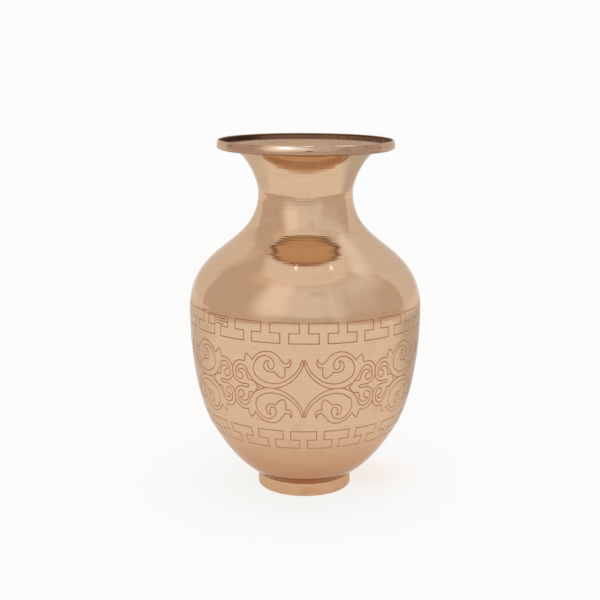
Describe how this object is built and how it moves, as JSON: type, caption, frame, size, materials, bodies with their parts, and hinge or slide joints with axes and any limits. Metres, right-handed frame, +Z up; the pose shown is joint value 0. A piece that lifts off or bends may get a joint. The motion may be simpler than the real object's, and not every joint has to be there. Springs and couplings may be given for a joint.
{
  "type": "brass kalash pot",
  "caption": "Spun brass kalash-shaped vase: round engraved belly, narrow neck, trumpet mouth with an upright hoop rim, and a low foot ring.",
  "frame": {"origin": "centre of the foot ring's underside, on the surface that the pot stands on", "axes": "+Z up along the pot's turning axis; the pot is round, and -Y is the side with the engraving's middle motif"},
  "size_m": [0.1444, 0.1444, 0.22],
  "materials": {
    "polished_brass": "lathe-polished brass with fine turning lines",
    "hoop_brass": "polished brass hoop with small hand marks",
    "foot_brass": "turned brass, slightly duller",
    "braze_alloy": "copper-coloured braze and solder"
  },
  "bodies": {
    "root": {"lower_bowl": "polished_brass", "shoulder": "polished_brass", "neck_flare": "polished_brass", "rim_hoop": "hoop_brass", "foot_ring": "foot_brass", "girth_braze": "braze_alloy", "neck_braze": "braze_alloy", "rim_solder": "braze_alloy", "foot_braze": "braze_alloy"}
  },
  "joints": []
}
